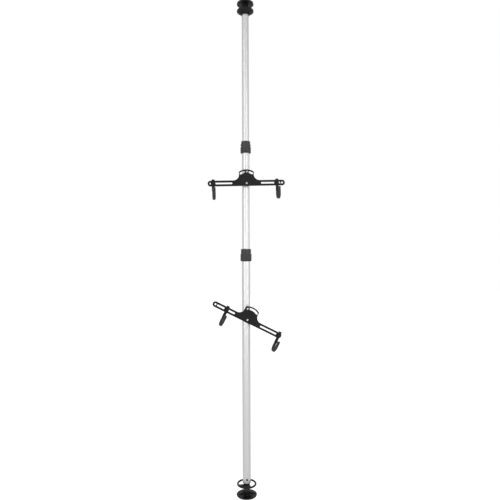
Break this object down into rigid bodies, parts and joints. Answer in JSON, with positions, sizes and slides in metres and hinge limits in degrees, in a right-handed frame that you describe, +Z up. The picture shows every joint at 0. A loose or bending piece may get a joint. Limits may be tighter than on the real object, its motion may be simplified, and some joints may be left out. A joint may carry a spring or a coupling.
{
  "type": "floor-to-ceiling bicycle stand",
  "caption": "Telescopic floor-to-ceiling pole with tilting slotted bracket arms whose sliding hooks hold bicycles by the top tube.",
  "frame": {"origin": "middle of the foot pad's underside, on the pole's axis", "axes": "+Z up along the pole; the upper bracket's arms run along X and its front faces -Y"},
  "size_m": [0.4712, 0.1783, 3.01],
  "materials": {
    "black_plastic": "fine moulded texture",
    "charcoal_plastic": "satin moulded plastic",
    "black_rubber": "matt rubber",
    "grey_rubber": "satin rubber sleeve",
    "anodised_aluminium": "bright satin anodised",
    "powder_coated_steel": "black powder coat",
    "zinc_plated_steel": "bright zinc plate",
    "white_nylon": "moulded nylon"
  },
  "bodies": {
    "pole_base": {"lower_tube": "anodised_aluminium", "end_plug": "black_plastic", "plug_screw": "powder_coated_steel", "lower_lock_body": "charcoal_plastic", "lower_collet": "white_nylon"},
    "foot_carrier": {"thrust_cup": "white_nylon"},
    "foot_screw_set": {"foot_spindle": "zinc_plated_steel", "handwheel": "black_plastic"},
    "foot_swivel_ring": {"foot_liner": "white_nylon"},
    "foot_set": {"foot_plate": "black_plastic", "socket_cap": "black_plastic", "foot_pad": "black_rubber"},
    "lower_grip_ring": {"lower_lock_grip": "charcoal_plastic"},
    "middle_pole": {"middle_tube": "anodised_aluminium", "middle_guide_bush": "black_plastic", "upper_lock_body": "charcoal_plastic", "upper_collet": "white_nylon"},
    "upper_grip_ring": {"upper_lock_grip": "charcoal_plastic"},
    "top_pole": {"top_tube": "anodised_aluminium", "top_guide_bush": "black_plastic", "top_cap": "black_plastic", "ball_stud": "powder_coated_steel", "ball_stud_nut": "zinc_plated_steel"},
    "ceiling_swivel_ring": {"ceiling_liner": "white_nylon"},
    "ceiling_set": {"ceiling_plate": "black_plastic", "ceiling_pad": "black_rubber"},
    "upper_slider": {"upper_clamp_liner": "black_rubber"},
    "upper_clamp_set": {"upper_clamp_front": "powder_coated_steel", "upper_clamp_rear": "powder_coated_steel", "upper_clamp_bolt_left": "zinc_plated_steel", "upper_clamp_bolt_right": "zinc_plated_steel", "upper_pivot_bolt": "zinc_plated_steel", "upper_pivot_spacer": "white_nylon", "upper_lock_bolt": "zinc_plated_steel", "upper_lock_washer": "black_plastic"},
    "upper_arm_set": {"upper_plate": "powder_coated_steel"},
    "upper_left_hook_set": {"upper_hook_left": "powder_coated_steel", "upper_hook_left_sleeve": "grey_rubber"},
    "upper_left_knob_set": {"upper_hook_left_knob": "black_plastic"},
    "upper_right_hook_set": {"upper_hook_right": "powder_coated_steel", "upper_hook_right_sleeve": "grey_rubber"},
    "upper_right_knob_set": {"upper_hook_right_knob": "black_plastic"},
    "lower_slider": {"lower_clamp_liner": "black_rubber"},
    "lower_clamp_set": {"lower_clamp_front": "powder_coated_steel", "lower_clamp_rear": "powder_coated_steel", "lower_clamp_bolt_left": "zinc_plated_steel", "lower_clamp_bolt_right": "zinc_plated_steel", "lower_pivot_bolt": "zinc_plated_steel", "lower_pivot_spacer": "white_nylon", "lower_lock_bolt": "zinc_plated_steel", "lower_lock_washer": "black_plastic"},
    "lower_arm_set": {"lower_plate": "powder_coated_steel", "lower_hook_right": "powder_coated_steel", "lower_hook_right_sleeve": "grey_rubber"},
    "lower_left_hook_set": {"lower_hook_left": "powder_coated_steel", "lower_hook_left_sleeve": "grey_rubber"},
    "lower_left_knob_set": {"lower_hook_left_knob": "black_plastic"},
    "lower_right_knob_set": {"lower_hook_right_knob": "black_plastic"}
  },
  "joints": [
    {"name": "foot_lift", "type": "slide", "parent": "pole_base", "child": "foot_carrier", "axis": [0, 0, -1], "range_m": [-0.002, 0.04]},
    {"name": "handwheel_spin", "type": "hinge", "parent": "foot_carrier", "child": "foot_screw_set", "pos_m": [0, 0, 0.069], "axis": [0, 0, -1], "range_deg": [-181, 3601]},
    {"name": "foot_tilt_x", "type": "hinge", "parent": "foot_carrier", "child": "foot_swivel_ring", "pos_m": [0, 0, 0.019], "axis": [1, 0, 0], "range_deg": [-8, 8]},
    {"name": "foot_tilt_y", "type": "hinge", "parent": "foot_swivel_ring", "child": "foot_set", "pos_m": [0, 0, 0.019], "axis": [0, 1, 0], "range_deg": [-8, 8]},
    {"name": "lower_grip_turn", "type": "hinge", "parent": "pole_base", "child": "lower_grip_ring", "pos_m": [0, 0, 1.4545], "axis": [0, 0, 1], "range_deg": [0, 120]},
    {"name": "middle_extend", "type": "slide", "parent": "pole_base", "child": "middle_pole", "axis": [0, 0, 1], "range_m": [-0.15, 0.15]},
    {"name": "upper_grip_turn", "type": "hinge", "parent": "middle_pole", "child": "upper_grip_ring", "pos_m": [0, 0, 2.111], "axis": [0, 0, 1], "range_deg": [0, 120]},
    {"name": "top_extend", "type": "slide", "parent": "middle_pole", "child": "top_pole", "axis": [0, 0, 1], "range_m": [-0.15, 0.15]},
    {"name": "ceiling_tilt_x", "type": "hinge", "parent": "top_pole", "child": "ceiling_swivel_ring", "pos_m": [0, 0, 2.982], "axis": [1, 0, 0], "range_deg": [-8, 8]},
    {"name": "ceiling_tilt_y", "type": "hinge", "parent": "ceiling_swivel_ring", "child": "ceiling_set", "pos_m": [0, 0, 2.982], "axis": [0, 1, 0], "range_deg": [-8, 8]},
    {"name": "upper_height", "type": "slide", "parent": "middle_pole", "child": "upper_slider", "axis": [0, 0, 1], "range_m": [-0.12, 0.1]},
    {"name": "upper_swing", "type": "hinge", "parent": "upper_slider", "child": "upper_clamp_set", "pos_m": [0, 0, 1.9035], "axis": [0, 0, 1], "range_deg": [-90, 90]},
    {"name": "upper_tilt", "type": "hinge", "parent": "upper_clamp_set", "child": "upper_arm_set", "pos_m": [0, 0, 1.9035], "axis": [0, -1, 0], "range_deg": [-32.5, 28.5]},
    {"name": "upper_left_hook_slide", "type": "slide", "parent": "upper_arm_set", "child": "upper_left_hook_set", "axis": [0.9994, 0, 0.0349], "range_m": [0, 0.1105]},
    {"name": "upper_left_knob_turn", "type": "hinge", "parent": "upper_left_hook_set", "child": "upper_left_knob_set", "pos_m": [-0.20238, -0.03, 1.89643], "axis": [0, -1, 0], "range_deg": [0, 720]},
    {"name": "upper_right_hook_slide", "type": "slide", "parent": "upper_arm_set", "child": "upper_right_hook_set", "axis": [0.9994, 0, 0.0349], "range_m": [-0.094, 0.0165]},
    {"name": "upper_right_knob_turn", "type": "hinge", "parent": "upper_right_hook_set", "child": "upper_right_knob_set", "pos_m": [0.18589, -0.03, 1.90999], "axis": [0, -1, 0], "range_deg": [0, 720]},
    {"name": "lower_height", "type": "slide", "parent": "pole_base", "child": "lower_slider", "axis": [0, 0, 1], "range_m": [-0.45, 0.12]},
    {"name": "lower_swing", "type": "hinge", "parent": "lower_slider", "child": "lower_clamp_set", "pos_m": [0, 0, 1.0765], "axis": [0, 0, 1], "range_deg": [-90, 90]},
    {"name": "lower_tilt", "type": "hinge", "parent": "lower_clamp_set", "child": "lower_arm_set", "pos_m": [0, 0, 1.0765], "axis": [0.0523, -0.9986, 0], "range_deg": [-3.2, 57.8]},
    {"name": "lower_left_hook_slide", "type": "slide", "parent": "lower_arm_set", "child": "lower_left_hook_set", "axis": [0.8874, 0.0465, -0.4587], "range_m": [-0.0605, 0.05]},
    {"name": "lower_left_knob_turn", "type": "hinge", "parent": "lower_left_hook_set", "child": "lower_left_knob_set", "pos_m": [-0.12444, -0.03656, 1.14163], "axis": [0.0523, -0.9986, 0], "range_deg": [0, 720]},
    {"name": "lower_right_knob_turn", "type": "hinge", "parent": "lower_arm_set", "child": "lower_right_knob_set", "pos_m": [0.19547, -0.0198, 0.97628], "axis": [0.0523, -0.9986, 0], "range_deg": [0, 720]}
  ],
  "couplings": [
    {"joint": "handwheel_spin", "follows": "foot_lift", "rad_per_m": 1570.8}
  ]
}
